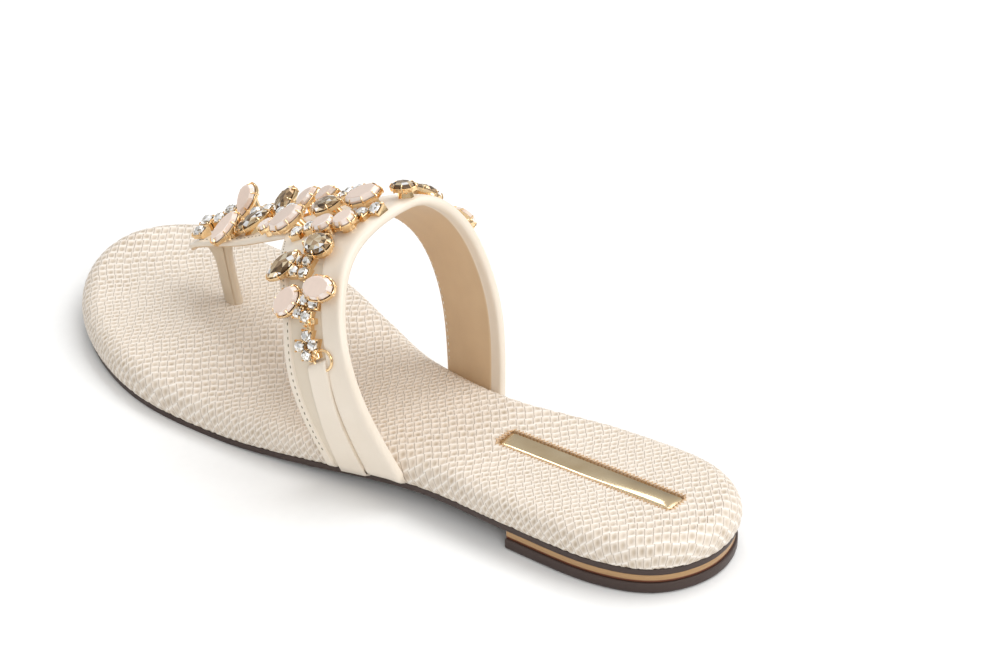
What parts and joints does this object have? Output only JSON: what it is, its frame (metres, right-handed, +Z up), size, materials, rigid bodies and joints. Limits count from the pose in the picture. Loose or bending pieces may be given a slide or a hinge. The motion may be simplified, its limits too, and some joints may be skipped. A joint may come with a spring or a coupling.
{
  "type": "flat jewelled thong slide sandal",
  "caption": "Flat slide sandal, left foot, with an embossed footbed, a broad instep strap, a thong with a toe post, gold-set stones and a low heel.",
  "frame": {"origin": "on the floor under the middle of the footbed's length", "axes": "-Y to the toe, +X to the outer side of the foot, +Z up"},
  "size_m": [0.0877, 0.2498, 0.0803],
  "materials": {
    "cream_leather": "smooth satin",
    "embossed_leather": "reptile embossed satin",
    "dark_sole": "matte",
    "tan_edge": "waxed edge",
    "gold_foil": "mirror",
    "gold": "polished plating",
    "milky_stone": "polished",
    "smoky_stone": "faceted"
  },
  "bodies": {
    "root": {"outsole": "dark_sole", "heel_band": "tan_edge", "heel_lift": "dark_sole", "footbed": "embossed_leather", "plaque": "gold_foil", "upper": "cream_leather", "setting": "gold", "tab_outer": "cream_leather", "tab_inner": "cream_leather", "ring_outer": "gold", "ring_inner": "gold", "long_oval": "milky_stone", "raised_drop": "milky_stone", "small_oval": "milky_stone", "centre_oval": "milky_stone", "front_drop": "milky_stone", "back_drop": "milky_stone", "front_round": "milky_stone", "back_round": "milky_stone", "octagon": "milky_stone", "outer_leg_back_oval": "milky_stone", "outer_leg_front_oval": "milky_stone", "inner_leg_back_oval": "milky_stone", "inner_leg_front_oval": "milky_stone", "front_marquise": "smoky_stone", "raised_oval": "smoky_stone", "centre_marquise": "smoky_stone", "baguette": "smoky_stone", "outer_leg_oval": "smoky_stone", "outer_leg_marquise": "smoky_stone", "inner_leg_oval": "smoky_stone", "inner_leg_marquise": "smoky_stone"}
  },
  "joints": []
}
